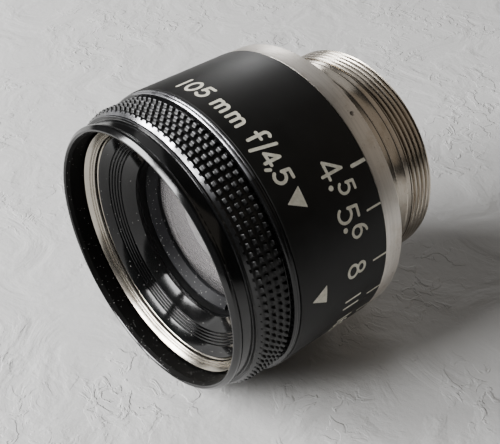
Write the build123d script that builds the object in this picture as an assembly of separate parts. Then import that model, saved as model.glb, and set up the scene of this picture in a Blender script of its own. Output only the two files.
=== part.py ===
"""Barrel lens for an enlarger, 105 mm f/4.5, lying on its side.

+Y is the optical axis and points to the rear, +Z is up.  The origin is on the axis,
at the shoulder where the mounting collar leaves the silver flange.  The front glass
looks towards -Y.  Millimetres throughout.
"""

import os
from math import atan2, cos, degrees, hypot, radians, sin

from build123d import *

os.makedirs("parts", exist_ok=True)

# ---- driving dimensions -------------------------------------------------------------
THREAD_R = 19.5          # M39 x 1 enlarger thread, major radius
THREAD_PITCH = 1.0
COLLAR_LEN = 9.0         # plain collar between the shoulder and the thread
THREAD_RELIEF = 0.4      # turned relief where the thread starts
TUBE_END = 14.0          # rear end of the threaded tube
SLEEVE_R = 25.25         # engraved scale sleeve
FLANGE_R = 25.15         # silver flange, a touch under the sleeve
FLANGE_FRONT = -3.6
SLEEVE_REAR = -3.75
RIDGE_R = 25.1           # polished ridge between the knurl and the sleeve
RIDGE_FRONT = -23.3
RIDGE_REAR = -22.15
KNURL_R = 24.6
KNURL_FRONT = -29.95
KNURL_TEETH = 108
KNURL_ROWS = 5
ROW_PITCH = 1.34
ROW_GROOVE = 0.50        # width of the turned grooves between knurl rows
KNURL_DEPTH = 0.55
NECK_R = 23.1
LIP_R = 23.3             # outside of the rolled front lip
LIP_FRONT = -33.3
HOOD_BORE_R = 22.0       # takes a push-in filter or cap
HOOD_BORE_REAR = -30.0   # the bore is relieved behind this
HOOD_RELIEF = 0.3
RUN = 0.05               # radial running clearance

LINER_R = 21.75          # bright ring in the mouth, a short cone with two fine grooves
LINER_OUT = (21.55, -29.85)
LINER_IN = (20.45, -28.5)
LINER_GROOVE = 0.12
BAFFLE_OUT = (20.0, -28.1)
BAFFLE_IN = (14.65, -23.95)
BAFFLE_RIBS = 5
RIB_DEPTH = 0.22

BARREL_R = 22.25         # bearing lands of the fixed inner barrel
CHAMBER_R = 18.9         # iris chamber bore
CELL_BORE_R = 17.4

BLADES = 10
BLADE_T = 0.06
BLADE_IN_R = 12.0        # inner edge of a blade when it lies concentric
PIVOT_R = 14.2           # both pins lie on this circle when the blades are concentric
BLADE_W = 2 * (PIVOT_R - BLADE_IN_R)
BLADE_ARC = 140.0        # degrees from pivot pin to drive pin
BLADE_RISE = 0.55        # mm of climb towards the front per radian along a blade
BLADE_REST = -6.0        # degrees past concentric with the ring at its open stop
BLADE_TURN = 46.0        # degrees each blade turns over the ring's travel
RING_PER_BLADE = 2.0     # ring degrees per blade degree
RING_TURN = BLADE_TURN * RING_PER_BLADE
PIN_R = 0.4
IRIS_Y = -7.4            # rear face of the blades at their pivot ends

SCREW_Y = -10.2          # drive screw, in the middle of the cam ring
SCREW_ANGLE = 200.0      # degrees from +Z towards +X, on the side away from the scale
GRIP_SCREW_Y = -24.9
GRIP_SCREW_R = 0.6
WINDOW_R = 0.7           # half the width of the drive screw's window
STOP_MARGIN = 0.6        # degrees of clearance at each end of the window
INDEX_ANGLE = 32.3       # index dot on the flange
INDEX_Y = -1.4
INDEX_R = 0.4

KEEPER_SLOTS = 150.0     # where the front retaining ring's spanner slots stopped
E1_R = 13.9              # edge radii of the glasses
E2_R = 11.9
REAR_R = 13.0

front = Plane(origin=(0, IRIS_Y, 0), x_dir=(0, 0, 1), z_dir=(0, -1, 0))


# ---- helpers ------------------------------------------------------------------------
def turned(*outline):
    """Solid turned about the optical axis from (radius, y) corners."""
    return revolve(make_face(Polyline(*outline, close=True)), Axis.Y)


def tube(r_in, r_out, y0, y1):
    return turned((r_in, y0), (r_out, y0), (r_out, y1), (r_in, y1))


def radial(angle, y):
    """Plane on the axis whose normal points outwards at an angle from +Z towards +X."""
    a = radians(angle)
    return Plane(origin=(0, y, 0), x_dir=(0, 1, 0), z_dir=(sin(a), 0, cos(a)))


def radial_rod(angle, y, r, r0, r1):
    """Round rod from radius r0 to r1 at an angle round the barrel."""
    rod = Pos(0, 0, (r0 + r1) / 2) * Cylinder(r, r1 - r0)
    return radial(angle, y).location * rod


def arc_at(r, y_vertex, radius, side):
    """y of a lens surface at radius r; side +1 curves rearwards, -1 forwards."""
    return y_vertex + side * (radius - (radius * radius - r * r) ** 0.5)


def lens(r_edge, y_front, r_front, side_front, y_rear, r_rear, side_rear, chamfer=0.0):
    """Glass element from two spherical surfaces with a ground cylindrical edge."""
    half = r_edge / 2
    a = (0, y_front)
    b = (half, arc_at(half, y_front, r_front, side_front))
    c = (r_edge, arc_at(r_edge, y_front, r_front, side_front))
    d = (r_edge, arc_at(r_edge, y_rear, r_rear, side_rear))
    e = (half, arc_at(half, y_rear, r_rear, side_rear))
    f = (0, y_rear)
    outline = ThreePointArc(a, b, c) + Line(c, d) + ThreePointArc(d, e, f) + Line(f, a)
    return revolve(make_face(outline), Axis.Y)


def on_cone(outer, inner, f, depth=0.0):
    """Point a fraction f of the way in along a cone, sunk below its face by depth."""
    (r0, y0), (r1, y1) = outer, inner
    run = hypot(r1 - r0, y1 - y0)
    return (r0 + (r1 - r0) * f + depth * (y1 - y0) / run, y0 + (y1 - y0) * f - depth * (r1 - r0) / run)


def save(shape, node):
    export_step(shape, f"parts/{node}.step")


# ---- grip ring: lip, neck, knurl and polished ridge ---------------------------------
def lip_and_knurl():
    outline = [
        (HOOD_BORE_R + HOOD_RELIEF, -28.0),
        (HOOD_BORE_R + HOOD_RELIEF, HOOD_BORE_REAR),
        (HOOD_BORE_R, HOOD_BORE_REAR),
        (HOOD_BORE_R, LIP_FRONT + 0.9),
        (HOOD_BORE_R + 0.3, LIP_FRONT + 0.2),
        (HOOD_BORE_R + 0.5, LIP_FRONT),
        (HOOD_BORE_R + 0.7, LIP_FRONT),
        (LIP_R - 0.05, LIP_FRONT + 0.58),
        (LIP_R, LIP_FRONT + 0.75),
        (LIP_R, LIP_FRONT + 1.0),
        (NECK_R + 0.03, LIP_FRONT + 1.4),
        (NECK_R, LIP_FRONT + 1.8),
        (NECK_R, KNURL_FRONT),
        (NECK_R + 0.2, KNURL_FRONT + 0.02),
        (KNURL_R - 0.15, KNURL_FRONT + 1.05),
        (KNURL_R, KNURL_FRONT + 1.23),
        (KNURL_R, RIDGE_FRONT - 0.3),
        (KNURL_R - KNURL_DEPTH, RIDGE_FRONT - 0.25),
        (KNURL_R - KNURL_DEPTH, RIDGE_FRONT),
        (RIDGE_R - 0.12, RIDGE_FRONT),
        (RIDGE_R, RIDGE_FRONT + 0.12),
        (RIDGE_R, RIDGE_FRONT + 0.5),
        (RIDGE_R - 0.08, RIDGE_FRONT + 0.56),
        (RIDGE_R - 0.08, RIDGE_FRONT + 0.62),
        (RIDGE_R, RIDGE_FRONT + 0.68),
        (RIDGE_R, RIDGE_REAR - 0.2),
        (RIDGE_R - 0.12, RIDGE_REAR),
        (23.4, RIDGE_REAR),
        (23.4, -27.3),
        (BARREL_R + 0.3, -27.3),
        (BARREL_R + 0.3, -28.0),
    ]
    blank = turned(*outline)

    # turned grooves between the rows
    rows_rear = RIDGE_FRONT - 0.05
    for row in range(1, KNURL_ROWS):
        y = rows_rear - row * ROW_PITCH
        blank -= tube(KNURL_R - KNURL_DEPTH, KNURL_R + 1, y - ROW_GROOVE / 2, y + ROW_GROOVE / 2)

    # axial flutes, cut as one toothed ring
    tooth = 360 / KNURL_TEETH
    land = 0.27 * tooth
    root = 0.13 * tooth
    teeth = []
    for i in range(KNURL_TEETH):
        for r, a in (
            (KNURL_R + 0.3, -land),
            (KNURL_R + 0.3, land),
            (KNURL_R - KNURL_DEPTH, tooth / 2 - root),
            (KNURL_R - KNURL_DEPTH, tooth / 2 + root),
        ):
            t = radians(i * tooth + a)
            teeth.append((r * cos(t), r * sin(t)))
    star = make_face(Polyline(*teeth, close=True))
    flutes = make_face(Circle(KNURL_R + 2).edges()) - star
    band = Plane(origin=(0, KNURL_FRONT, 0), x_dir=(0, 0, 1), z_dir=(0, 1, 0))
    cutter = band.location * extrude(flutes, RIDGE_FRONT - KNURL_FRONT)
    return blank - cutter


grip_ring = lip_and_knurl()
grip_ring -= radial_rod(SCREW_ANGLE, GRIP_SCREW_Y, GRIP_SCREW_R + 0.02, 22.0, 26.0)
save(grip_ring, "grip_ring")
save(radial_rod(SCREW_ANGLE, GRIP_SCREW_Y, GRIP_SCREW_R, 22.75, 24.0), "grip_set_screw")

# ---- scale sleeve -------------------------------------------------------------------
sleeve = turned(
    (BARREL_R + RUN, -27.2),
    (23.35, -27.2),
    (23.35, RIDGE_REAR),
    (SLEEVE_R, RIDGE_REAR),
    (SLEEVE_R, SLEEVE_REAR - 0.1),
    (SLEEVE_R - 0.1, SLEEVE_REAR),
    (BARREL_R + RUN, SLEEVE_REAR),
    (BARREL_R + RUN, -8.2),
    (23.3, -8.2),
    (23.3, -19.8),
    (BARREL_R + RUN, -19.8),
)
sleeve -= radial_rod(SCREW_ANGLE, SCREW_Y, 0.92, 22.0, 26.0)
sleeve -= radial_rod(SCREW_ANGLE, SCREW_Y, 1.6, 24.3, 26.0)
sleeve -= radial_rod(SCREW_ANGLE, GRIP_SCREW_Y, GRIP_SCREW_R + 0.02, 22.7, 24.0)
save(sleeve, "scale_sleeve")

# ---- drive screw: turned with the sleeve, its tip turns the cam ring -----------------
drive_screw = radial_rod(SCREW_ANGLE, SCREW_Y, 1.55, 24.35, 25.1)
drive_screw += radial_rod(SCREW_ANGLE, SCREW_Y, 0.9, 22.4, 24.4)
drive_screw += radial_rod(SCREW_ANGLE, SCREW_Y, 0.6, 17.4, 22.5)
slot_cut = Pos(0, 0, 25.1) * Box(4, 0.4, 0.7)
drive_screw -= radial(SCREW_ANGLE, SCREW_Y).location * slot_cut
save(drive_screw, "drive_screw")

# ---- fixed inner barrel -------------------------------------------------------------
barrel = turned(
    (20.5, -27.5),
    (BARREL_R, -27.5),
    (BARREL_R, -20.0),
    (21.6, -20.0),
    (21.6, -8.0),
    (BARREL_R, -8.0),
    (BARREL_R, -6.9),
    (21.5, -6.9),
    (21.5, -5.9),
    (BARREL_R, -5.9),
    (BARREL_R, FLANGE_FRONT),
    (CHAMBER_R, FLANGE_FRONT),
    (CHAMBER_R, -11.25),
    (CELL_BORE_R, -11.25),
    (CELL_BORE_R, -21.8),
    (20.5, -21.8),
)
# window for the drive screw: its two ends are the ring's stops
wedge = [(0, 0)]
for i in range(13):
    a = radians(i * (RING_TURN + 2 * STOP_MARGIN) / 12)
    wedge.append((26 * cos(a), 26 * sin(a)))
window = extrude(make_face(Polyline(*wedge, close=True)), WINDOW_R, both=True)
screw_plane = Plane(
    origin=(0, SCREW_Y, 0),
    x_dir=(sin(radians(SCREW_ANGLE + STOP_MARGIN)), 0, cos(radians(SCREW_ANGLE + STOP_MARGIN))),
    z_dir=(0, -1, 0),
)
window = screw_plane.location * window
for end in (0, RING_TURN):
    window += radial_rod(SCREW_ANGLE - end, SCREW_Y, WINDOW_R, 1.0, 26.0)
barrel -= window
save(barrel, "inner_barrel")

# ---- friction spring: split wire ring pressed out against the sleeve ----------------
spring = tube(21.55, BARREL_R + RUN - 0.01, -6.75, -6.05)
spring -= radial(10, -6.4).location * (Pos(0, 0, 22) * Box(3, 2.5, 6))
save(spring, "friction_spring")

# ---- silver liner ring in the mouth -------------------------------------------------
liner_outline = [(LINER_R, -27.5), (LINER_R, LINER_OUT[1] + 0.15), LINER_OUT]
for f in (0.55, 0.8):
    liner_outline.append(on_cone(LINER_OUT, LINER_IN, f))
    liner_outline.append(on_cone(LINER_OUT, LINER_IN, f + 0.03, LINER_GROOVE))
    liner_outline.append(on_cone(LINER_OUT, LINER_IN, f + 0.07, LINER_GROOVE))
    liner_outline.append(on_cone(LINER_OUT, LINER_IN, f + 0.1))
liner_outline += [LINER_IN, (20.45, -27.9), (20.1, -27.6)]
liner_outline += [(20.1, -27.0), (20.4, -26.9), (20.4, -27.5)]
save(turned(*liner_outline), "front_liner_ring")

# ---- ribbed baffle cone -------------------------------------------------------------
baffle_outline = [BAFFLE_OUT]
for i in range(BAFFLE_RIBS):
    f = 0.29 + i * 0.075
    baffle_outline.append(on_cone(BAFFLE_OUT, BAFFLE_IN, f))
    baffle_outline.append(on_cone(BAFFLE_OUT, BAFFLE_IN, f + 0.012, RIB_DEPTH))
    baffle_outline.append(on_cone(BAFFLE_OUT, BAFFLE_IN, f + 0.034, RIB_DEPTH))
    baffle_outline.append(on_cone(BAFFLE_OUT, BAFFLE_IN, f + 0.046))
baffle_outline += [BAFFLE_IN, (BAFFLE_IN[0], -23.2), (BAFFLE_OUT[0], -23.2)]
save(turned(*baffle_outline), "front_baffle")

# ---- front cell, its glasses and rings ----------------------------------------------
front_cell = turned(
    (14.6, -23.15),
    (20.4, -23.15),
    (20.4, -21.8),
    (17.3, -21.8),
    (17.3, -14.5),
    (14.2, -12.1),
    (11.2, -12.1),
    (11.2, -12.35),
    (E2_R + 0.05, -12.35),
    (E2_R + 0.05, -16.65),
    (E1_R + 0.05, -16.65),
    (E1_R + 0.05, -19.55),
    (14.6, -19.55),
)
save(front_cell, "front_cell")
save(lens(E1_R, -22.5, 34, 1, -16.95, 150, -1), "front_element")
save(lens(E2_R, -15.8, 90, -1, -14.4, 36, 1), "second_element")
save(tube(11.5, E1_R, -17.25, -16.65), "element_spacer")
front_keeper = turned(
    (14.55, -22.0),
    (14.2, -22.0),
    (13.0, -20.6),
    (13.0, -20.02),
    (13.9, -19.6),
    (14.55, -19.6),
)
for angle in (KEEPER_SLOTS, KEEPER_SLOTS + 180):
    front_keeper -= Rot(0, angle, 0) * Pos(0, -21.8, 13.9) * Box(1.0, 0.9, 2.4)
save(front_keeper, "front_retaining_ring")

# ---- iris: base plate, cam ring, blades ---------------------------------------------
def polar(r, angle, centre=(0.0, 0.0)):
    return (centre[0] + r * cos(radians(angle)), centre[1] + r * sin(radians(angle)))


CHORD = 2 * PIVOT_R * sin(radians(BLADE_ARC / 2))


def drive_pin(turn):
    """Drive pin centre of the first blade, turn degrees past concentric."""
    return polar(CHORD, 90 + BLADE_ARC / 2 + turn, (PIVOT_R, 0))


def capsule(p, q, r):
    """Flat outline swept by a circle of radius r moving from p to q."""
    length = hypot(q[0] - p[0], q[1] - p[1])
    angle = degrees(atan2(q[1] - p[1], q[0] - p[0]))
    mid = ((p[0] + q[0]) / 2, (p[1] + q[1]) / 2)
    return Pos(*mid) * Rot(0, 0, angle) * Rectangle(length, 2 * r) + Pos(*p) * Circle(r) + Pos(*q) * Circle(r)


# cam ring: each slot follows the drive pin as the ring turns twice as far as the blade
slot_path = []
STEPS = 12
for i in range(STEPS + 1):
    turned_by = BLADE_TURN * i / STEPS
    x, y = drive_pin(BLADE_REST + turned_by)
    r = hypot(x, y)
    a = degrees(atan2(y, x)) - RING_PER_BLADE * turned_by
    slot_path.append(polar(r, a))
slot = capsule(slot_path[0], slot_path[1], PIN_R + 0.06)
for p, q in zip(slot_path[1:-1], slot_path[2:]):
    slot += capsule(p, q, PIN_R + 0.06)
slot_tool = Pos(0, 0, 1.7) * extrude(slot, 2.2)

cam = Pos(0, 0, 2.8) * (Cylinder(CHAMBER_R - RUN, 2.0) - Cylinder(11.4, 2.0))
base = Pos(0, 0, -0.8) * (Cylinder(CHAMBER_R - 0.02, 1.0) - Cylinder(11.9, 1.0))
pivot_hole = Pos(PIVOT_R, 0, -0.8) * Cylinder(PIN_R + RUN, 1.2)
cam_cuts = []
base_cuts = []
for k in range(BLADES):
    cam_cuts.append(Rot(0, 0, k * 360 / BLADES) * slot_tool)
    base_cuts.append(Rot(0, 0, k * 360 / BLADES) * pivot_hole)
cam = front.location * (cam - cam_cuts)
cam -= radial_rod(SCREW_ANGLE, SCREW_Y, 0.62, 17.2, 20.0)
save(cam, "iris_cam_ring")
save(front.location * (base - base_cuts), "iris_base_plate")
save(tube(16.9, CHAMBER_R - 0.02, -6.05, -5.05), "iris_retaining_ring")


def blade_sheet():
    """Thin strip that climbs steadily along its arc, as a sprung leaf in the stack does."""
    sections = []
    count = 14
    for i in range(count + 1):
        a = -12 + (BLADE_ARC + 24) * i / count
        lift = BLADE_RISE * radians(a) + BLADE_T / 2
        x, y = polar(PIVOT_R, a)
        where = Plane(origin=(x, y, lift), x_dir=(*polar(1, a), 0), z_dir=(*polar(1, a + 90), 0))
        sections.append(where * Rectangle(BLADE_W + 3, BLADE_T))
    return loft(sections, ruled=True)


sheet = blade_sheet()
rim = CenterArc((0, 0), PIVOT_R, 0, BLADE_ARC)
outline = SlotArc(rim, BLADE_W)
leaf = sheet & (Pos(0, 0, -1) * extrude(outline, 4))
lift_end = BLADE_RISE * radians(BLADE_ARC)
leaf += Pos(PIVOT_R, 0, -0.53) * Cylinder(PIN_R, 1.14)
leaf += Pos(*polar(PIVOT_R, BLADE_ARC), lift_end + 0.79) * Cylinder(PIN_R, 1.54)
leaf = Pos(PIVOT_R, 0, 0) * Rot(0, 0, BLADE_REST) * Pos(-PIVOT_R, 0, 0) * leaf
for k in range(BLADES):
    save(front.location * (Rot(0, 0, k * 360 / BLADES) * leaf), f"blade_{k + 1:02d}")

# ---- rear cell and its cemented pair ------------------------------------------------
rear_cell = turned(
    (12.2, -4.8),
    (16.55, -4.8),
    (16.55, 11.0),
    (15.6, 11.0),
    (13.7, 6.2),
    (13.7, 3.5),
    (REAR_R + 0.05, 3.5),
    (REAR_R + 0.05, -3.35),
    (12.2, -3.35),
)
for side in (-1, 1):
    rear_cell -= Pos(0, 10.8, side * 16.1) * Box(1.2, 1.6, 2.4)
save(rear_cell, "rear_cell")
save(lens(REAR_R, -2.6, 120, -1, -1.1, 28, 1), "rear_flint_element")
save(lens(REAR_R, -1.1, 28, 1, 5.5, 42, -1), "rear_crown_element")
rear_keeper = turned(
    (12.2, 3.85),
    (12.2, 4.4),
    (12.6, 5.2),
    (13.65, 5.2),
    (13.65, 3.6),
    (13.0, 3.6),
)
for side in (-1, 1):
    rear_keeper -= Pos(side * 13.2, 5.1, 0) * Box(1.6, 0.9, 1.0)
save(rear_keeper, "rear_retaining_ring")

# ---- silver flange with collar and screw thread --------------------------------------
flange = turned(
    (16.6, -4.9),
    (CHAMBER_R - 0.02, -4.9),
    (CHAMBER_R - 0.02, FLANGE_FRONT),
    (FLANGE_R - 0.1, FLANGE_FRONT),
    (FLANGE_R, FLANGE_FRONT + 0.1),
    (FLANGE_R, -0.15),
    (FLANGE_R - 0.15, 0),
    (THREAD_R, 0),
    (THREAD_R, TUBE_END - 0.2),
    (THREAD_R - 0.2, TUBE_END),
    (16.6, TUBE_END),
)
# the thread, as one closed groove per turn
groove_depth = 0.6134 * THREAD_PITCH
flange -= tube(THREAD_R - 0.35, THREAD_R + 1, COLLAR_LEN, COLLAR_LEN + THREAD_RELIEF)
thread_y = COLLAR_LEN + THREAD_RELIEF
while thread_y < TUBE_END + 0.5:
    flange -= turned(
        (THREAD_R - groove_depth, thread_y + 0.42),
        (THREAD_R + 0.1, thread_y - 0.02),
        (THREAD_R + 0.1, thread_y + 0.98),
        (THREAD_R - groove_depth, thread_y + 0.54),
    )
    thread_y += THREAD_PITCH
flange -= radial_rod(INDEX_ANGLE, INDEX_Y, INDEX_R, FLANGE_R - 0.4, FLANGE_R + 1)
save(flange, "mount_flange")
save(radial_rod(INDEX_ANGLE, INDEX_Y, INDEX_R - 0.01, FLANGE_R - 0.39, FLANGE_R - 0.1), "index_dot")
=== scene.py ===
"""Looks for the enlarging lens: turned pieces, engraved scale, glasses, light and camera.

The lens lies on its side.  +Y is the optical axis, rear thread towards +Y, +Z is up.
"""

import math

import bmesh
import bpy
import numpy as np
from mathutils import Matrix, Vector


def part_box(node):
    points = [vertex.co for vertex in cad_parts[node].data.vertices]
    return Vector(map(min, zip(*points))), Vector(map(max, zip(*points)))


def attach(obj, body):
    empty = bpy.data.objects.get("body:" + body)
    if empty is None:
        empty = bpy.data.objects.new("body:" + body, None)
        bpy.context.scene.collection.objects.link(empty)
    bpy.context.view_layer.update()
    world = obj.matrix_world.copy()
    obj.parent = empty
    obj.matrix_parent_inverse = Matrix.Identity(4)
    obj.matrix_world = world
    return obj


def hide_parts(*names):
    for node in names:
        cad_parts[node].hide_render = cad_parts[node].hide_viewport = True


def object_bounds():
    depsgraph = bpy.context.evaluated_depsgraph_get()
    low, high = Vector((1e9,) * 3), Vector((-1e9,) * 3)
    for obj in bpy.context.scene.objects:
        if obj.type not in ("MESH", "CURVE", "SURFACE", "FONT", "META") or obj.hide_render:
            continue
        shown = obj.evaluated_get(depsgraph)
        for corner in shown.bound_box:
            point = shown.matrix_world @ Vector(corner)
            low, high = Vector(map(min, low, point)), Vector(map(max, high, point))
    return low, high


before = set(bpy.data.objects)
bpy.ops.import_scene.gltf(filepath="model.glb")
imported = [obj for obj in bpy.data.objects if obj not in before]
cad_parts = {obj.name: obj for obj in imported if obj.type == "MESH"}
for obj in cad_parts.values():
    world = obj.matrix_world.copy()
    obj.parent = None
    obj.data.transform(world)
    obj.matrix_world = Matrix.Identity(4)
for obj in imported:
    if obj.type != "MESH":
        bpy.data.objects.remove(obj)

CAD_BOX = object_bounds()
MM = 0.001
TAU = 2 * math.pi


def span(node):
    """Outer radius, front y and rear y of a turned CAD node, in millimetres."""
    lo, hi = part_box(node)
    return max(hi.x, hi.z) / MM, lo.y / MM, hi.y / MM


RIDGE_R, LIP_FRONT, RIDGE_REAR = span("grip_ring")
SLEEVE_R, _, SLEEVE_REAR = span("scale_sleeve")
FLANGE_R, _, TUBE_END = span("mount_flange")
E1_R = span("front_element")[0]
E2_R = span("second_element")[0]
REAR_R = span("rear_crown_element")[0]

RIDGE_FRONT = RIDGE_REAR - 1.15
FLANGE_FRONT = SLEEVE_REAR + 0.15
THREAD_R = 19.5
COLLAR_LEN = 9.0
PITCH = 1.0
BARREL_R = 22.25
HOOD_BORE_R = 22.0
HOOD_RELIEF = 0.3
HOOD_BORE_REAR = -30.0
NECK_R = 23.1
LIP_R = 23.3
KNURL_R = 24.6
KNURL_FRONT = -29.95
KNURL_DEPTH = 0.55
TEETH = 108
ROWS = 5
ROW_PITCH = 1.34
ROW_GROOVE = 0.5
BEVEL = ((23.3, -29.93), (24.45, -28.9), (KNURL_R, -28.72))
RIM_SEAT = -27.3                       # the grip ring stops here against the sleeve's front step
BORE_END = -28.0                       # rear end of the wide bore behind the hood
SET_SCREW_FLOOR = 22.7                 # radius of the bottom of the set screw's hole
LINER_OUT, LINER_IN = (21.55, -29.85), (20.45, -28.5)
BAFFLE_OUT, BAFFLE_IN = (20.0, -28.1), (14.65, -23.95)
SCREW_ANGLE, SCREW_Y, SCREW_HEAD_R = 200.0, -10.2, 1.6
GRIP_SCREW_Y, GRIP_SCREW_R = -24.9, 0.62
INDEX_ANGLE, INDEX_Y, INDEX_R = 32.3, -1.4, 0.4


# ---- mesh helpers -------------------------------------------------------------------
def rounded(outline, radius=0.06, steps=3):
    """Closed (r, y) outline with each real corner replaced by a small arc."""
    out = []
    count = len(outline)
    for i, here in enumerate(outline):
        p = Vector(here)
        a = Vector(outline[i - 1]) - p
        b = Vector(outline[(i + 1) % count]) - p
        room = 0.45 * min(a.length, b.length)
        if min(a.length, b.length) < 1e-6:
            continue
        turn = math.pi - a.angle(b)
        if p.x < 1e-6 or turn < math.radians(12):
            out.append((p.x, p.y))
            continue
        cut = min(radius * math.tan(turn / 2), room)
        start, end = p + a.normalized() * cut, p + b.normalized() * cut
        for s in range(steps + 1):
            t = s / steps
            q = start * (1 - t) ** 2 + p * (2 * t * (1 - t)) + end * t * t
            out.append((q.x, q.y))
    return out


def new_object(name, verts, faces, material, body, replaces=()):
    mesh = bpy.data.meshes.new(name)
    mesh.from_pydata(verts, [], faces)
    mesh.validate()
    mesh.materials.append(material)
    for poly in mesh.polygons:
        poly.use_smooth = True
    piece = bpy.data.objects.new(name, mesh)
    bpy.context.scene.collection.objects.link(piece)
    mark_sharp(mesh)
    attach(piece, body)
    if replaces:
        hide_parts(*replaces)
    return piece


def mark_sharp(mesh, limit=35):
    """Keeps real edges crisp and everything flatter than the limit smooth."""
    bm = bmesh.new()
    bm.from_mesh(mesh)
    bmesh.ops.remove_doubles(bm, verts=bm.verts, dist=1e-8)
    bmesh.ops.recalc_face_normals(bm, faces=bm.faces)
    for edge in bm.edges:
        if len(edge.link_faces) == 2 and edge.calc_face_angle(0) > math.radians(limit):
            edge.smooth = False
    bm.to_mesh(mesh)
    bm.free()


def lathe(name, outline, material, body, replaces=(), segments=320):
    """Solid of revolution about the optical axis from a closed (r, y) outline in mm."""
    verts, faces = [], []
    count = len(outline)
    for i in range(segments):
        c, s = math.cos(TAU * i / segments), math.sin(TAU * i / segments)
        verts += [(r * s * MM, y * MM, r * c * MM) for r, y in outline]
    for i in range(segments):
        a, b = i * count, (i + 1) % segments * count
        for j in range(count):
            k = (j + 1) % count
            if outline[j][0] < 1e-6 and outline[k][0] < 1e-6:
                continue
            faces.append((a + j, a + k, b + k, b + j))
    return new_object(name, verts, faces, material, body, replaces)


def grid_ring(name, radii, ys, angles, inner_r, material, body, replaces=()):
    """Closed ring whose outside is a height field: radii[i][j] at angle i and station j."""
    n, m = len(angles), len(ys)
    verts, faces = [], []
    for i, a in enumerate(angles):
        s, c = math.sin(a) * MM, math.cos(a) * MM
        for j in range(m):
            r = radii[i][j]
            verts.append((r * s, ys[j] * MM, r * c))
        verts.append((inner_r * s, ys[-1] * MM, inner_r * c))
        verts.append((inner_r * s, ys[0] * MM, inner_r * c))
    row = m + 2
    for i in range(n):
        a, b = i * row, (i + 1) % n * row
        for j in range(row):
            k = (j + 1) % row
            faces.append((a + j, a + k, b + k, b + j))
    return new_object(name, verts, faces, material, body, replaces)


def bored(piece, angle, y, r, floor_r, top_r=26.0):
    """Cuts a round hole from the outside down to floor_r, at an angle from the top."""
    a = math.radians(angle)
    out = Vector((math.sin(a), 0.0, math.cos(a)))
    mesh = bpy.data.meshes.new("drill")
    bm = bmesh.new()
    bmesh.ops.create_cone(
        bm, cap_ends=True, segments=40, radius1=r * MM, radius2=r * MM, depth=(top_r - floor_r) * MM
    )
    bm.to_mesh(mesh)
    bm.free()
    drill = bpy.data.objects.new("drill", mesh)
    drill.rotation_euler = out.to_track_quat("Z", "Y").to_euler()
    drill.location = out * ((top_r + floor_r) / 2 * MM) + Vector((0.0, y * MM, 0.0))
    bpy.context.scene.collection.objects.link(drill)
    cut = piece.modifiers.new("hole", "BOOLEAN")
    cut.operation = "DIFFERENCE"
    cut.solver = "EXACT"
    cut.object = drill
    bpy.context.view_layer.update()
    shaped = bpy.data.meshes.new_from_object(piece.evaluated_get(bpy.context.evaluated_depsgraph_get()))
    piece.modifiers.clear()
    piece.data = shaped
    bpy.data.objects.remove(drill)
    mark_sharp(shaped)


def paint_faces(piece, material, chosen):
    """Gives one more material to the faces where chosen(r, y), in mm, is true."""
    piece.data.materials.append(material)
    index = len(piece.data.materials) - 1
    for poly in piece.data.polygons:
        x, y, z = poly.center
        if chosen(math.hypot(x, z) / MM, y / MM):
            poly.material_index = index


# ---- material helpers ---------------------------------------------------------------
class Tree:
    """Short way to write a node material: add a node, and set or link its inputs."""

    def __init__(self, name):
        self.mat = bpy.data.materials.new(name)
        self.mat.use_nodes = True
        self.nodes = self.mat.node_tree.nodes
        self.links = self.mat.node_tree.links
        self.nodes.clear()
        self.out = self.nodes.new("ShaderNodeOutputMaterial")
        self.coord = self.add("ShaderNodeTexCoord").outputs["Object"]

    def add(self, kind, inputs=None, **props):
        node = self.nodes.new("ShaderNode" + kind if not kind.startswith("Shader") else kind)
        for key, value in props.items():
            setattr(node, key, value)
        for key, value in (inputs or {}).items():
            self.put(node.inputs[key], value)
        return node

    def put(self, socket, value):
        if isinstance(value, bpy.types.NodeSocket):
            self.links.new(value, socket)
        else:
            socket.default_value = value

    def math(self, operation, a, b=0.0, c=0.0, clamp=False):
        node = self.add("Math", {0: a, 1: b, 2: c}, operation=operation, use_clamp=clamp)
        return node.outputs[0]

    def noise(self, vector, scale, detail=3.0, rough=0.55):
        node = self.add("TexNoise", {"Vector": vector, "Scale": scale, "Detail": detail, "Roughness": rough})
        return node.outputs["Fac"]

    def ramp(self, value, low, high):
        """0 below low, 1 above high, straight between."""
        node = self.add("MapRange", {"Value": value, "From Min": low, "From Max": high})
        return node.outputs["Result"]

    def mix(self, factor, a, b):
        node = self.add("Mix", {0: factor, 6: a, 7: b}, data_type="RGBA")
        return node.outputs[2]

    def split(self):
        xyz = self.add("SeparateXYZ", {0: self.coord})
        return xyz.outputs[0], xyz.outputs[1], xyz.outputs[2]

    def radius(self):
        x, _, z = self.split()
        square = self.math("ADD", self.math("MULTIPLY", x, x), self.math("MULTIPLY", z, z))
        return self.math("SQRT", square)

    def turned(self, around, along):
        """Coordinates that stretch noise into lines round the optical axis."""
        x, y, z = self.split()
        r = self.radius()
        across = self.math("ADD", self.math("MULTIPLY", y, along), self.math("MULTIPLY", r, along * 1.31))
        vector = self.add(
            "CombineXYZ",
            {
                0: self.math("MULTIPLY", self.math("DIVIDE", x, r), around),
                1: self.math("MULTIPLY", self.math("DIVIDE", z, r), around),
                2: across,
            },
        )
        return vector.outputs[0]

    def bump(self, height, distance, strength=1.0, normal=None):
        inputs = {"Height": height, "Distance": distance, "Strength": strength}
        if normal is not None:
            inputs["Normal"] = normal
        return self.add("Bump", inputs).outputs["Normal"]

    def brushed_round(self, amount):
        """Shader inputs that stretch highlights across rings cut round the optical axis."""
        if not amount:
            return {}
        tangent = self.add("Tangent", direction_type="RADIAL", axis="Y").outputs[0]
        return {"Anisotropic": amount, "Anisotropic_Rotation": 0.25, "Tangent": tangent}

    def finish(self, **inputs):
        shader = self.add("BsdfPrincipled", {k.replace("_", " "): v for k, v in inputs.items()})
        self.links.new(shader.outputs[0], self.out.inputs[0])
        return self.mat


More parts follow.
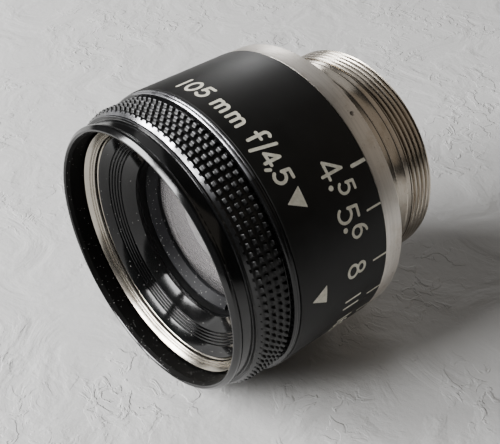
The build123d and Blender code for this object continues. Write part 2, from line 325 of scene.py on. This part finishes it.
def dusting(t, color, amount, speck=2300.0, dust=(0.55, 0.54, 0.52, 1.0)):
    """Fine pale specks scattered over a surface."""
    cells = t.add("TexVoronoi", {"Vector": t.coord, "Scale": speck, "Randomness": 1.0})
    near = t.ramp(cells.outputs["Distance"], 0.19, 0.08)
    patch = t.ramp(t.noise(t.coord, 700.0, 4.0), 0.62 - amount, 0.80 - amount)
    chance = t.add("SeparateColor", {0: cells.outputs["Color"]}).outputs[0]
    pick = t.ramp(chance, 0.95 - 0.3 * amount, 0.98 - 0.3 * amount)
    mask = t.math("MULTIPLY", t.math("MULTIPLY", near, pick), patch)
    return t.mix(mask, color, dust)


def black_metal(
    name,
    base,
    rough,
    lines=1.0e-6,
    dust=0.0,
    speck=2300.0,
    grain=0.0,
    wear=0.0,
    wear_and_highlight_r=None,
    ior=1.5,
    tint=(1.0, 1.0, 1.03),
    brushed=0.0,
):
    """Black anodised or lacquered metal with turning lines, dust and worn edges.

    Above the radius given in mm, the top side turns to worn grey metal: edge wear, kept to the top side as a
    painted highlight.
    """
    t = Tree(name)
    turning = t.noise(t.turned(0.6, 14000.0), 1.0, 3.0, 0.6)
    cloud = t.noise(t.coord, 260.0, 4.0)
    dark = tuple(base * 0.75 * k for k in tint) + (1.0,)
    light = tuple(base * 1.35 * k for k in tint) + (1.0,)
    color = t.mix(t.ramp(cloud, 0.3, 0.7), dark, light)
    if wear:
        worn = t.ramp(t.add("NewGeometry").outputs["Pointiness"], 0.53, 0.60)
        worn = t.math("MULTIPLY", worn, t.ramp(t.noise(t.coord, 1500.0, 5.0), 0.5, 0.7))
        color = t.mix(t.math("MULTIPLY", worn, wear), color, (0.20, 0.19, 0.18, 1.0))
    wear_and_painted_highlight = 0.0
    # painted highlight: grey metallic patch on the raised edges of the top side only, where the windows
    # reflect; partly edge wear
    if wear_and_highlight_r:
        painted_top_highlight = t.ramp(t.math("DIVIDE", t.split()[2], t.radius()), 0.80, 0.96)
        high = t.ramp(t.radius(), (wear_and_highlight_r - 0.12) * MM, wear_and_highlight_r * MM)
        wear_and_painted_highlight = t.math("MULTIPLY", t.math("MULTIPLY", painted_top_highlight, high), t.ramp(cloud, 0.30, 0.55))
        color = t.mix(wear_and_painted_highlight, color, (0.40, 0.40, 0.42, 1.0))
    if dust:
        color = dusting(t, color, dust, speck)
    roughness = t.math("MULTIPLY_ADD", cloud, 0.10, rough - 0.05)
    roughness = t.math("MULTIPLY_ADD", turning, 0.06, t.math("SUBTRACT", roughness, 0.03))
    normal = t.bump(turning, lines)
    if grain:
        normal = t.bump(t.noise(t.coord, 9000.0, 2.0), grain, 1.0, normal)
    across = t.brushed_round(brushed)
    return t.finish(Base_Color=color, Metallic=wear_and_painted_highlight, Roughness=roughness, IOR=ior, Normal=normal, **across)


BROWN = (0.10, 0.075, 0.05, 1.0)


def bare_metal(name, base, rough, lines=2.5e-6, along=9000.0, pits=0.0, stains=0.0, groove_r=None):
    """Turned aluminium with rings of tool marks, brown stains, pits and dirty grooves."""
    t = Tree(name)
    turning = t.noise(t.turned(0.5, along), 1.0, 4.0, 0.65)
    streaks = t.noise(t.turned(2.2, 2600.0), 1.0, 3.0, 0.5)
    cloud = t.noise(t.coord, 220.0, 4.0)
    dark = tuple(v * 0.92 for v in base) + (1.0,)
    light = tuple(min(1.0, v * 1.07) for v in base) + (1.0,)
    color = t.mix(t.ramp(streaks, 0.3, 0.7), dark, light)
    if stains:
        patch = t.ramp(t.noise(t.coord, 330.0, 6.0, 0.7), 0.52, 0.72)
        warm = tuple(v * k for v, k in zip(base, (0.62, 0.54, 0.44))) + (1.0,)
        color = t.mix(t.math("MULTIPLY", patch, stains), color, warm)
    if pits:
        spots = t.ramp(t.noise(t.coord, 2600.0, 3.0, 0.6), 0.66, 0.72)
        color = t.mix(t.math("MULTIPLY", spots, pits), color, BROWN)
    if groove_r:
        low = t.ramp(t.radius(), groove_r * MM, (groove_r - 0.3) * MM)
        color = t.mix(t.math("MULTIPLY", low, 0.6), color, BROWN)
    roughness = t.math("MULTIPLY_ADD", cloud, 0.14, rough - 0.07)
    normal = t.bump(turning, lines)
    return t.finish(Base_Color=color, Metallic=1.0, Roughness=roughness, Normal=normal)


GRIP = black_metal("black_grip", 0.0045, 0.13, dust=0.05, wear=0.30, ior=1.52)
# EDGE and KNURL: worn grey metal on the top side only, a painted highlight mixed with edge wear
EDGE = black_metal("edge_wear_and_painted_highlight", 0.0050, 0.17, dust=0.02, ior=1.45, wear_and_highlight_r=KNURL_R - 0.9)
KNURL = black_metal("black_knurl", 0.0050, 0.36, dust=0.04, wear=0.20, ior=1.45, wear_and_highlight_r=KNURL_R - 0.02)
HOOD = black_metal("black_hood_wall", 0.0022, 0.60, dust=0.55, speck=2900.0, ior=1.2, tint=(1.0, 0.95, 0.85))
SLEEVE = black_metal(
    "black_sleeve", 0.0065, 0.46, lines=0.5e-6, grain=0.5e-6, dust=0.02, ior=1.33, tint=(1.0, 0.97, 0.90)
)
BAFFLE = black_metal("black_baffle", 0.0025, 0.11, dust=0.24, speck=2600.0, ior=1.37, brushed=0.85)
CELL = black_metal("black_cell", 0.002, 0.5, dust=0.1, ior=1.3)
KEEPER = black_metal("black_keeper", 0.009, 0.50, dust=0.90, speck=2900.0, ior=1.22, tint=(1.0, 1.0, 1.12))
FLANGE = bare_metal("silver_flange", (0.75, 0.705, 0.645), 0.42, lines=0.2e-6, pits=0.50, stains=0.45)
THREAD = bare_metal(
    "mount_thread_metal",
    (0.52, 0.47, 0.40),
    0.20,
    lines=1.5e-6,
    pits=0.75,
    stains=0.45,
    groove_r=THREAD_R - 0.15,
)
LINER = bare_metal("silver_liner", (0.47, 0.435, 0.375), 0.24, lines=3e-6, along=5000.0, stains=0.5)
INNER = black_metal("turned_alloy", 0.02, 0.45)
SCREW = bare_metal("screw_steel", (0.16, 0.155, 0.15), 0.4)
SPRING = bare_metal("spring_steel", (0.55, 0.54, 0.52), 0.3)
IRIS_BRASS = bare_metal("iris_brass", (0.09, 0.075, 0.05), 0.45)
BLADE = bare_metal("blade_steel", (0.10, 0.10, 0.115), 0.42, lines=0.8e-6)
DOT = black_metal("dark_fill", 0.15, 0.5, tint=(1.0, 0.85, 0.70))


def engraving_paint():
    t = Tree("engraving_fill")
    cloud = t.noise(t.coord, 1400.0, 5.0, 0.65)
    color = t.mix(t.ramp(cloud, 0.32, 0.72), (0.62, 0.59, 0.48, 1.0), (0.86, 0.83, 0.71, 1.0))
    grime = t.ramp(t.noise(t.coord, 3200.0, 4.0, 0.7), 0.60, 0.75)
    color = t.mix(t.math("MULTIPLY", grime, 0.5), color, (0.20, 0.18, 0.14, 1.0))
    return t.finish(Base_Color=color, Roughness=0.62, Normal=t.bump(cloud, 6e-6))


def coated_glass():
    t = Tree("coated_glass")
    haze = t.ramp(t.noise(t.coord, 60.0, 2.0), 0.3, 0.7)
    color = t.mix(haze, (0.84, 0.81, 0.82, 1.0), (0.89, 0.86, 0.86, 1.0))
    color = dusting(t, color, 0.02, 1700.0)
    roughness = t.math("MULTIPLY_ADD", haze, 0.02, 0.02)
    return t.finish(Base_Color=color, Roughness=roughness, IOR=1.60, Transmission_Weight=0.93)


PAINT = engraving_paint()
GLASS = coated_glass()

# the CAD nodes that stay in view, and what they are made of
for material, node_names in (
    (CELL, ("front_cell", "rear_cell", "element_spacer")),
    (KEEPER, ("front_retaining_ring", "rear_retaining_ring")),
    (INNER, ("inner_barrel",)),
    (SCREW, ("drive_screw", "grip_set_screw")),
    (SPRING, ("friction_spring",)),
    (IRIS_BRASS, ("iris_base_plate", "iris_cam_ring", "iris_retaining_ring")),
    (BLADE, tuple(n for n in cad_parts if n.startswith("blade_"))),
    (DOT, ("index_dot",)),
):
    for node_name in node_names:
        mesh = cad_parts[node_name].data
        mesh.materials.clear()
        mesh.materials.append(material)


# ---- front rim, knurl and ridge -----------------------------------------------------
def front_rim():
    root = KNURL_R - KNURL_DEPTH - 0.1
    outline = [
        (BARREL_R + 0.3, BORE_END),
        (HOOD_BORE_R + HOOD_RELIEF, BORE_END),
        (HOOD_BORE_R + HOOD_RELIEF, HOOD_BORE_REAR),
        (HOOD_BORE_R, HOOD_BORE_REAR),
        (HOOD_BORE_R, LIP_FRONT + 0.9),
        (HOOD_BORE_R + 0.3, LIP_FRONT + 0.2),
        (HOOD_BORE_R + 0.5, LIP_FRONT),
        (HOOD_BORE_R + 0.7, LIP_FRONT),
        (LIP_R - 0.05, LIP_FRONT + 0.58),
        (LIP_R, LIP_FRONT + 0.75),
        (LIP_R, LIP_FRONT + 1.0),
        (NECK_R + 0.03, LIP_FRONT + 1.4),
        (NECK_R, LIP_FRONT + 1.8),
        (NECK_R, KNURL_FRONT),
        (BEVEL[0][0], KNURL_FRONT + 0.03),
        (BEVEL[0][0], KNURL_FRONT + 0.6),
        (root - 0.3, KNURL_FRONT + 0.8),
        (root - 0.3, RIDGE_FRONT - 0.4),
        (root, RIDGE_FRONT - 0.3),
        (root, RIDGE_FRONT),
        (RIDGE_R - 0.22, RIDGE_FRONT),
        (RIDGE_R, RIDGE_FRONT + 0.22),
        (RIDGE_R, RIDGE_FRONT + 0.48),
        (RIDGE_R - 0.1, RIDGE_FRONT + 0.54),
        (RIDGE_R - 0.1, RIDGE_FRONT + 0.64),
        (RIDGE_R, RIDGE_FRONT + 0.70),
        (RIDGE_R, RIDGE_REAR - 0.2),
        (RIDGE_R - 0.12, RIDGE_REAR),
        (BARREL_R + 1.15, RIDGE_REAR),
        (BARREL_R + 1.15, RIM_SEAT),
        (BARREL_R + 0.3, RIM_SEAT),
    ]
    shape = rounded(outline, 0.16, 4)
    rim = lathe("front_rim", shape, GRIP, "aperture_control", ("grip_ring",))
    paint_faces(rim, HOOD, lambda r, y: r < HOOD_BORE_R + 0.32 and y > LIP_FRONT + 0.3)
    # the ridge takes the material with the painted top-side highlight
    paint_faces(rim, EDGE, lambda r, y: r > KNURL_R and y > RIDGE_FRONT - 0.01)
    bored(rim, SCREW_ANGLE, GRIP_SCREW_Y, GRIP_SCREW_R, SET_SCREW_FLOOR)


def smooth(t):
    t = min(max(t, 0.0), 1.0)
    return t * t * (3 - 2 * t)


def knurl_band():
    """Rows of small domed studs; the flutes run out through the bevel in front."""
    root = KNURL_R - KNURL_DEPTH
    y0, y1 = BEVEL[0][1], RIDGE_FRONT - 0.2
    grooves = [RIDGE_FRONT - 0.05 - row * ROW_PITCH for row in range(1, ROWS)]
    half = ROW_GROOVE / 2
    stations = {y0, y1, *(y for _, y in BEVEL), *np.linspace(y0, BEVEL[1][1], 6)}
    for g in grooves:
        stations |= {g - half - 0.3, g - half - 0.18, g - half - 0.08, g - half, g, g + half}
        stations |= {g + half + 0.08, g + half + 0.18, g + half + 0.3, g + ROW_PITCH / 2}
    ys = sorted(stations)

    def height(y):
        """How far a stud stands up at this station, 0 in a groove and 1 on a row."""
        walls = [smooth((abs(y - g) - half) / 0.34) for g in grooves]
        if y < grooves[-1]:
            walls[-1] = smooth((abs(y - grooves[-1]) - half) / 0.1)
        return min(walls + [smooth((y1 - y) / 0.34)])

    per_tooth = (0.0, 0.12, 0.18, 0.24, 0.30, 0.37, 0.44, 0.5, 0.56, 0.63, 0.70, 0.76, 0.82, 0.88)
    angles, radii = [], []
    for i in range(TEETH):
        for f in per_tooth:
            angles.append(TAU * (i + f) / TEETH)
            across = smooth((0.39 - abs(f - 0.5)) / 0.20)
            ring = []
            for y in ys:
                stud = root + KNURL_DEPTH * across * height(y)
                if y < BEVEL[-1][1]:
                    turned_r = float(np.interp(y, [b[1] for b in BEVEL], [b[0] for b in BEVEL]))
                    stud = min(turned_r, max(stud, root))
                ring.append(stud)
            radii.append(ring)
    band = grid_ring(
        "knurl_band", radii, ys, angles, root - 0.35, KNURL, "aperture_control", ("grip_ring",)
    )
    # the bevel takes the material with the painted top-side highlight
    paint_faces(band, EDGE, lambda r, y: y < BEVEL[1][1])
    bored(band, SCREW_ANGLE, GRIP_SCREW_Y, GRIP_SCREW_R, SET_SCREW_FLOOR)


front_rim()
knurl_band()


# ---- scale sleeve -------------------------------------------------------------------
def scale_sleeve():
    outline = [
        (BARREL_R + 0.05, -27.2),
        (23.35, -27.2),
        (23.35, RIDGE_REAR),
        (SLEEVE_R, RIDGE_REAR),
        (SLEEVE_R, SLEEVE_REAR),
        (BARREL_R + 0.05, SLEEVE_REAR),
        (BARREL_R + 0.05, -8.2),
        (23.3, -8.2),
        (23.3, -19.8),
        (BARREL_R + 0.05, -19.8),
    ]
    shape = rounded(outline, 0.08)
    stands_for = ("scale_sleeve",)
    piece = lathe("scale_sleeve_turned", shape, SLEEVE, "aperture_control", stands_for, 480)
    bored(piece, SCREW_ANGLE, SCREW_Y, SCREW_HEAD_R, 24.3)


scale_sleeve()


# ---- engraved marks: strokes, drawn in mm with x round the sleeve and y along it -----
def arc(cx, cy, rx, ry, a0, a1, steps=16):
    """Points on an ellipse from a0 to a1 degrees."""
    angles = [math.radians(a0 + (a1 - a0) * i / steps) for i in range(steps + 1)]
    return [(cx + rx * math.cos(a), cy + ry * math.sin(a)) for a in angles]


# strokes of each glyph in units of the cap height, centred on x = 0
GLYPHS = {
    "0": [arc(0.0, 0.5, 0.34, 0.5, 90, 450, 32)],
    "1": [[(0.0, 0.0), (0.0, 1.0)]],
    "2": [arc(0.0, 0.71, 0.28, 0.29, 170, -40) + [(-0.28, 0.0), (0.30, 0.0)]],
    "4": [[(0.14, 0.0), (0.14, 1.0), (-0.36, 0.28), (0.36, 0.28)]],
    "5": [[(0.27, 1.0), (-0.16, 1.0), (-0.22, 0.55)] + arc(-0.02, 0.33, 0.32, 0.33, 128, -142, 20)],
    "6": [arc(0.0, 0.31, 0.31, 0.31, 0, 360, 26), [(-0.30, 0.36)] + arc(0.20, 0.40, 0.50, 0.60, 172, 96, 8)],
    "8": [arc(0.0, 0.28, 0.32, 0.28, 90, 450, 26), arc(0.0, 0.78, 0.25, 0.22, -90, 270, 24)],
    "m": [
        [(-0.41, 0.0), (-0.41, 0.66)],
        arc(-0.205, 0.44, 0.205, 0.22, 180, 0, 10) + [(0.0, 0.0)],
        arc(0.205, 0.44, 0.205, 0.22, 180, 0, 10) + [(0.41, 0.0)],
    ],
    "f": [
        [(-0.06, 0.0), (-0.06, 0.90)] + arc(0.13, 0.94, 0.19, 0.22, 180, 50, 8),
        [(-0.24, 0.62), (0.18, 0.62)],
    ],
    "/": [[(-0.14, -0.30), (0.14, 1.30)]],
    ",": [[(0.04, 0.06), (-0.05, -0.18)]],
    ".": [[(0.0, 0.0), (0.0, 0.02)]],
}


def round_the_sleeve(degrees_from_top):
    return math.radians(degrees_from_top) * SLEEVE_R


def figure(letter, angle, foot, cap):
    """Strokes of one glyph centred at an angle from the top, standing on y = foot."""
    x = round_the_sleeve(angle)
    return [[(x + px * cap, foot + py * cap) for px, py in line] for line in GLYPHS[letter]]


def shape_distance(px, py, strokes, polygons, width):
    """Signed distance to the drawn shape; negative inside."""
    best = np.full(px.shape, 1e9)
    for line in strokes:
        for (ax, ay), (bx, by) in zip(line[:-1], line[1:]):
            dx, dy = bx - ax, by - ay
            t = ((px - ax) * dx + (py - ay) * dy) / max(dx * dx + dy * dy, 1e-12)
            t = np.clip(t, 0, 1)
            best = np.minimum(best, np.hypot(px - ax - t * dx, py - ay - t * dy) - width / 2)
    for corners in polygons:
        inside = np.full(px.shape, -1e9)
        for (ax, ay), (bx, by) in zip(corners, corners[1:] + corners[:1]):
            length = math.hypot(bx - ax, by - ay)
            inside = np.maximum(inside, ((px - ax) * (by - ay) - (py - ay) * (bx - ax)) / length)
        best = np.minimum(best, inside)
    return best


def engraved(name, strokes=(), polygons=(), width=0.4, cell=0.07):
    """Paint-filled engraving as a thin closed inlay that follows the sleeve."""
    points = [p for line in strokes for p in line] + [p for c in polygons for p in c]
    low = np.min(points, axis=0) - width
    high = np.max(points, axis=0) + width
    nx, ny = (np.ceil((high - low) / cell) + 1).astype(int)
    gx, gy = low[0] + cell * np.arange(nx), low[1] + cell * np.arange(ny)
    px, py = np.meshgrid(gx, gy, indexing="ij")
    dist = shape_distance(px, py, strokes, polygons, width)
    verts, faces, index = [], [], {}

    def vertex(key, x, y, d):
        if key not in index:
            lift = 0.010 + 0.010 * smooth(1 + d / 0.12)
            index[key] = len(verts)
            verts.append((x, y, SLEEVE_R + lift))
        return index[key]

    def crossing(i, j, k, l):
        key = (min((i, j), (k, l)), max((i, j), (k, l)))
        a, b = dist[i, j], dist[k, l]
        t = a / (a - b)
        return vertex(key, px[i, j] + t * (px[k, l] - px[i, j]), py[i, j] + t * (py[k, l] - py[i, j]), 0.0)

    for i in range(nx - 1):
        for j in range(ny - 1):
            ring = [(i, j), (i + 1, j), (i + 1, j + 1), (i, j + 1)]
            if all(dist[c] >= 0 for c in ring):
                continue
            face = []
            for a, b in zip(ring, ring[1:] + ring[:1]):
                if dist[a] < 0:
                    face.append(vertex(a, px[a], py[a], dist[a]))
                if (dist[a] < 0) != (dist[b] < 0):
                    face.append(crossing(*a, *b))
            if len(face) > 2:
                faces.append(tuple(face))
    count = len(verts)
    edges = {}
    for face in faces:
        for a, b in zip(face, face[1:] + face[:1]):
            edges[(a, b)] = edges.get((a, b), 0) + 1
    sunk = [(x, y, SLEEVE_R - 0.06) for x, y, _ in verts]
    floor = [tuple(v + count for v in reversed(face)) for face in faces]
    walls = [(b, a, a + count, b + count) for a, b in edges if (b, a) not in edges]
    wrapped = []
    for x, y, r in verts + sunk:
        a = x / SLEEVE_R
        wrapped.append((r * math.sin(a) * MM, y * MM, r * math.cos(a) * MM))
    return new_object(name, wrapped, faces + floor + walls, PAINT, "aperture_control")


FOOT, CAP = -19.9, 2.8                 # foot and height of the front line
FRONT_LINE = (
    ("1", -14.0, CAP),
    ("0", -8.5, CAP),
    ("5", -2.5, CAP),
    ("m", 7.2, CAP),
    ("m", 15.25, CAP),
    ("f", 24.7, CAP * 1.12),
    ("/", 28.8, CAP),
    ("4", 33.2, CAP),
    (",", 36.4, CAP),
    ("5", 40.3, CAP * 1.08),
)
for i, (letter, angle, cap) in enumerate(FRONT_LINE):
    engraved(f"focal_mark_{i}", figure(letter, angle, FOOT, cap), width=0.54)
for i, angle in enumerate((49.3, 87.0)):
    x, half = round_the_sleeve(angle), 1.72
    corners = [(x, FOOT - 0.08), (x + half, -16.95), (x - half, -16.95)]
    engraved(f"pointer_{i}", polygons=[corners])

SCALE_MID = -10.48                     # the figures of the scale are centred on this line
SMALL_FOOT, SMALL_CAP = -10.5, 2.9
TICK_FRONT, TICK_REAR = -6.9, SLEEVE_REAR - 0.08
TICKS = ((48.4, 0.6), (64.9, 0.34), (85.2, 0.34), (102.3, 0.34), (114.8, 0.34), (123.6, 0.34))
for i, (angle, width) in enumerate(TICKS):
    x, half = round_the_sleeve(angle), width / 2
    front, rear = TICK_FRONT + half, TICK_REAR
    corners = [(x - half, front), (x + half, front), (x + half, rear), (x - half, rear)]
    engraved(f"stop_tick_{i}", [[(x, front), (x, front + half)]], [corners], width=width)
SCALE_LINE = (
    ("4", 45.8, 3.85),
    ("5", 62.4, 3.85),
    ("8", 84.5, 3.5),
    ("1", 98.9, 3.15),
    ("1", 103.2, 3.15),
    ("1", 111.6, 2.9),
    ("6", 115.8, 2.9),
    ("2", 121.2, 2.9),
    ("2", 125.6, 2.9),
)
for i, (letter, angle, cap) in enumerate(SCALE_LINE):
    stroke = 0.5 if cap > 3.4 else 0.42
    engraved(f"stop_figure_{i}", figure(letter, angle, SCALE_MID - cap / 2, cap), width=stroke)
for i, (letter, angle) in enumerate((("5", 53.6), ("6", 70.0))):
    engraved(f"stop_decimal_{i}", figure(letter, angle, SMALL_FOOT, SMALL_CAP), width=0.46)
for i, (angle, y) in enumerate(((51.6, -11.85), (67.4, -11.8))):
    engraved(f"stop_point_{i}", figure(".", angle, y, 1.0), width=0.85)


# ---- flange, collar and thread ------------------------------------------------------
def flange_body():
    """Flange, collar with two fine raised lines, and the core of the threaded tube."""
    root = THREAD_R - 0.75
    low = THREAD_R - 0.07
    outline = [
        (16.6, -4.9),
        (18.88, -4.9),
        (18.88, FLANGE_FRONT),
        (FLANGE_R, FLANGE_FRONT),
        (FLANGE_R, 0.0),
        (low, 0.0),
    ]
    for y in (5.8, 8.0):
        outline += [(low, y - 0.16), (THREAD_R, y - 0.08), (THREAD_R, y + 0.08), (low, y + 0.16)]
    outline += [(low, COLLAR_LEN), (root, COLLAR_LEN + 0.1), (root, TUBE_END), (16.6, TUBE_END)]
    piece = lathe("flange_body", rounded(outline, 0.1), FLANGE, "barrel", ("mount_flange",))
    bored(piece, INDEX_ANGLE, INDEX_Y, INDEX_R, FLANGE_R - 0.4)
    paint_faces(piece, THREAD, lambda r, y: y > 0.02)


def helical_thread():
    """Single-start V thread; the stations climb one pitch per turn so crests stay crisp."""
    y0, y1 = COLLAR_LEN + 0.1, TUBE_END - 0.02
    profile = ((0.0, 0.0), (0.04, 0.0), (0.31, 1.0), (0.39, 1.0), (0.66, 0.0), (0.70, 0.0))
    depth = 0.50
    turns = int((y1 - y0) / PITCH) + 3
    n = 288
    verts, faces = [], []
    for i in range(n):
        a = TAU * i / n
        for k in range(turns):
            for f, low in profile:
                y = y0 + PITCH * (k - 1 + f + i / n)
                inside = min(max(y, y0), y1)
                fade = smooth((inside - y0) / 0.35) * smooth((y1 - inside) / 0.3)
                chamfer = 0.15 * (1 - smooth((y1 - inside) / 0.2))
                r = THREAD_R - 0.02 - depth * low * fade - chamfer
                verts.append((r * math.sin(a) * MM, inside * MM, r * math.cos(a) * MM))
    per = turns * len(profile)
    step = len(profile)
    for i in range(n):
        shift = step if i == n - 1 else 0
        a, b = i * per, (i + 1) % n * per + shift
        last = per - 1 - shift
        for j in range(last):
            faces.append((a + j, a + j + 1, b + j + 1, b + j))
    inner_front = len(verts)
    for y in (y0, y1):
        for i in range(n):
            a = TAU * i / n
            verts.append(((THREAD_R - 0.9) * math.sin(a) * MM, y * MM, (THREAD_R - 0.9) * math.cos(a) * MM))
    for i in range(n):
        j = (i + 1) % n
        shift = step if i == n - 1 else 0
        faces.append((inner_front + i, inner_front + j, inner_front + n + j, inner_front + n + i))
        faces.append((i * per, j * per + shift, inner_front + j, inner_front + i))
        faces.append(((i + 1) * per - 1 - shift, (j + 1) * per - 1, inner_front + n + j, inner_front + n + i))
    new_object("mount_thread", verts, faces, THREAD, "barrel", ("mount_flange",))


flange_body()
helical_thread()


# ---- bright liner ring and ribbed baffle --------------------------------------------
def liner_ring():
    """Short bright cone with two fine dark grooves near its inner edge."""
    outer, inner = Vector(LINER_OUT), Vector(LINER_IN)
    run = inner - outer
    sunk = Vector((-run.y, run.x)).normalized() * 0.14
    outline = [(21.75, -27.5), (21.75, -29.7), tuple(outer)]
    for f in (0.52, 0.76):
        for at, depth in ((f, 0), (f + 0.03, 1), (f + 0.08, 1), (f + 0.12, 0)):
            outline.append(tuple(outer + run * at - sunk * depth))
    outline += [LINER_IN, (20.45, -27.9), (20.1, -27.6), (20.1, -27.0), (20.4, -26.9), (20.4, -27.5)]
    lathe("liner_turned", rounded(outline, 0.05), LINER, "barrel", ("front_liner_ring",))


def baffle():
    inner, outer = Vector(BAFFLE_IN), Vector(BAFFLE_OUT)
    run = inner - outer
    sunk = Vector((-run.y, run.x)).normalized() * 0.2
    outline = [tuple(outer)]
    for i in range(5):
        f = 0.29 + i * 0.075
        for at, depth in ((f, 0), (f + 0.008, 0.8), (f + 0.015, 1), (f + 0.022, 0.8), (f + 0.030, 0)):
            outline.append(tuple(outer + run * at - sunk * depth))
    outline += [BAFFLE_IN, (BAFFLE_IN[0], -23.2), (BAFFLE_OUT[0], -23.2)]
    lathe("baffle_turned", rounded(outline, 0.08), BAFFLE, "barrel", ("front_baffle",))


liner_ring()
baffle()


# ---- glasses ------------------------------------------------------------------------
def surface(vertex, radius, side, edge, steps=24):
    """Points on a spherical surface from the axis out to the edge."""
    points = []
    for i in range(steps + 1):
        r = edge * i / steps
        points.append((r, vertex + side * (radius - math.sqrt(radius * radius - r * r))))
    return points


def element(name, node, edge, front, rear):
    outline = surface(*front, edge) + surface(*rear, edge)[::-1]
    lathe(name, outline, GLASS, "barrel", (node,), segments=192)


element("front_glass", "front_element", E1_R, (-22.5, 34, 1), (-16.95, 150, -1))
element("second_glass", "second_element", E2_R, (-15.8, 90, -1), (-14.4, 36, 1))
element("rear_flint_glass", "rear_flint_element", REAR_R, (-2.6, 120, -1), (-1.12, 28, 1))
element("rear_crown_glass", "rear_crown_element", REAR_R, (-1.08, 28, 1), (5.5, 42, -1))


# ---- floor, light and camera --------------------------------------------------------
def plaster():
    """Off-white plaster: faint sweeps, sparse raised flakes and a few hairline cracks."""
    t = Tree("plaster_floor")
    broad = t.noise(t.coord, 22.0, 4.0)
    fine = t.noise(t.coord, 500.0, 6.0, 0.7)
    flakes = t.add("TexNoise", {"Vector": t.coord, "Scale": 260.0, "Detail": 6.0, "Distortion": 0.9})
    patch = t.ramp(t.noise(t.coord, 42.0, 3.0), 0.46, 0.62)
    raised = t.math("MULTIPLY", t.ramp(flakes.outputs["Fac"], 0.53, 0.58), patch)
    strokes = t.add("TexNoise", {"Vector": t.coord, "Scale": 60.0, "Detail": 5.0, "Distortion": 1.0})
    swept = t.ramp(strokes.outputs["Fac"], 0.40, 0.62)
    veins = t.add("TexNoise", {"Vector": t.coord, "Scale": 40.0, "Detail": 6.0, "Distortion": 1.2})
    crack = t.math("ABSOLUTE", t.math("SUBTRACT", veins.outputs["Fac"], 0.5))
    crack = t.math("MULTIPLY", t.ramp(crack, 0.003, 0.001), t.ramp(t.noise(t.coord, 26.0), 0.50, 0.56))
    color = t.mix(broad, (0.66, 0.655, 0.645, 1.0), (0.74, 0.735, 0.725, 1.0))
    color = t.mix(t.math("MULTIPLY", crack, 0.45), color, (0.30, 0.29, 0.28, 1.0))
    normal = t.bump(swept, 3.0e-4, 0.8)
    normal = t.bump(raised, 2.0e-4, 0.8, normal)
    normal = t.bump(fine, 1.3e-4, 0.8, normal)
    return t.finish(Base_Color=color, Roughness=0.8, Normal=normal)


def stage_floor():
    z = CAD_BOX[0].z
    size = 1.2
    mesh = bpy.data.meshes.new("floor")
    corners = [(-size, -size, z), (size, -size, z), (size, size, z), (-size, size, z)]
    mesh.from_pydata(corners, [], [(0, 1, 2, 3)])
    mesh.materials.append(plaster())
    floor = bpy.data.objects.new("floor", mesh)
    bpy.context.scene.collection.objects.link(floor)


def direction(azimuth, elevation):
    a, e = math.radians(azimuth), math.radians(elevation)
    return Vector((math.sin(a) * math.cos(e), -math.cos(a) * math.cos(e), math.sin(e)))


def soft_light(name, azimuth, elevation, distance, width, height, watts, color=(1, 1, 1)):
    data = bpy.data.lights.new(name, "AREA")
    data.shape = "RECTANGLE"
    data.size, data.size_y = width, height
    data.energy = watts
    data.color = color
    light = bpy.data.objects.new(name, data)
    away = direction(azimuth, elevation)
    light.location = CENTRE + away * distance
    light.rotation_euler = away.to_track_quat("Z", "Y").to_euler()
    bpy.context.scene.collection.objects.link(light)


CENTRE = (CAD_BOX[0] + CAD_BOX[1]) / 2
stage_floor()
soft_light("window_pane_left", -42, 27, 0.70, 0.32, 0.26, 8.7)
soft_light("window_pane_right", -13, 27, 0.70, 0.22, 0.26, 5.9)
soft_light("back_window", -130, 15, 0.60, 0.11, 0.15, 0.50)
soft_light("back_wall", -138, 42, 0.90, 0.60, 0.42, 0.40)
soft_light("warm_wall", 158, 30, 1.00, 1.15, 0.80, 0.80, (1.0, 0.88, 0.74))

ROOM_GLOW, BACKDROP = 0.035, 0.55          # faint fill on the lens, and the pale wall behind it
world = bpy.data.worlds.new("studio")
world.use_nodes = True
sky = world.node_tree.nodes
seen = sky.new("ShaderNodeMath")
seen.operation = "MULTIPLY_ADD"
seen.inputs[1].default_value = BACKDROP - ROOM_GLOW
seen.inputs[2].default_value = ROOM_GLOW
world.node_tree.links.new(sky.new("ShaderNodeLightPath").outputs["Is Camera Ray"], seen.inputs[0])
world.node_tree.links.new(seen.outputs[0], sky["Background"].inputs["Strength"])
sky["Background"].inputs["Color"].default_value = (0.95, 0.93, 0.90, 1.0)
bpy.context.scene.world = world

CAMERA_AZIMUTH, CAMERA_ELEVATION = 48.97, 39.63
CAMERA_DISTANCE = 0.15707
AIM = CENTRE + Vector((0.0, -0.81, -3.84)) * MM
camera_data = bpy.data.cameras.new("camera")
camera_data.sensor_width = 36.0
camera_data.lens = 64.7
camera_data.clip_start = 0.005
camera = bpy.data.objects.new("camera", camera_data)
away = direction(CAMERA_AZIMUTH, CAMERA_ELEVATION)
camera.location = AIM + away * CAMERA_DISTANCE
camera.rotation_euler = away.to_track_quat("Z", "Y").to_euler()
bpy.context.scene.collection.objects.link(camera)
bpy.context.scene.camera = camera
